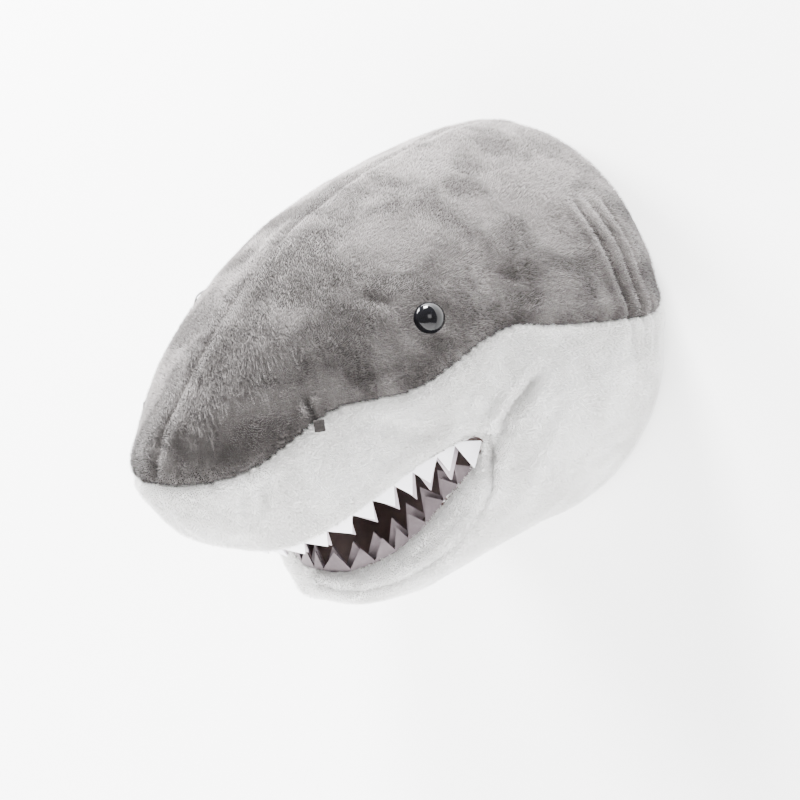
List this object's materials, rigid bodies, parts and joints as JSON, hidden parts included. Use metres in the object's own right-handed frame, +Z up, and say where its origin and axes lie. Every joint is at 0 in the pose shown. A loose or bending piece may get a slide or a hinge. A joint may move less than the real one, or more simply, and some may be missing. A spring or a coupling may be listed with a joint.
{
  "type": "plush shark head",
  "caption": "Stuffed plush shark head for a wall, with an open toothed mouth, domed eyes and a flat felt back with a ring hanger.",
  "frame": {"origin": "middle of the flat back, which lies against the wall", "axes": "+Y into the wall, +Z up, the nose points along -Y and the head is symmetric about X = 0"},
  "size_m": [0.3734, 0.4053, 0.3845],
  "materials": {
    "grey_plush": "short pile, brushed in cloudy patches",
    "white_plush": "short pile",
    "mouth_lining": "flat woven cloth",
    "tooth_felt": "stiff felt",
    "grey_tab": "short pile, folded",
    "eye_plastic": "polished black",
    "washer_plastic": "moulded",
    "stuffing": "loose fibre",
    "plywood": "sanded, unfinished",
    "back_felt": "pressed felt",
    "hanger_steel": "yellow zinc plate"
  },
  "bodies": {
    "head": {"upper_panel_left": "grey_plush", "upper_panel_right": "grey_plush", "cheek_panel_left": "white_plush", "cheek_panel_right": "white_plush", "lip_band": "white_plush", "throat_panel": "white_plush", "upper_mouth_lining": "mouth_lining", "lower_mouth_lining": "mouth_lining", "upper_teeth_outer": "tooth_felt", "upper_teeth_inner": "tooth_felt", "lower_teeth_outer": "tooth_felt", "lower_teeth_inner": "tooth_felt", "eye_left": "eye_plastic", "eye_right": "eye_plastic", "eye_washer_left": "washer_plastic", "eye_washer_right": "washer_plastic", "nostril_tab_left": "grey_tab", "nostril_tab_right": "grey_tab", "head_stuffing": "stuffing", "jaw_stuffing": "stuffing", "back_board": "plywood", "back_cover": "back_felt", "hanger_strap": "hanger_steel", "hanger_screw_upper": "hanger_steel", "hanger_screw_lower": "hanger_steel"},
    "ring": {"hanger_ring": "hanger_steel"}
  },
  "joints": [
    {"name": "ring_swing", "type": "hinge", "parent": "head", "child": "ring", "pos_m": [0, -0.0049, 0.116], "axis": [-1, 0, 0], "range_deg": [0, 160]}
  ]
}
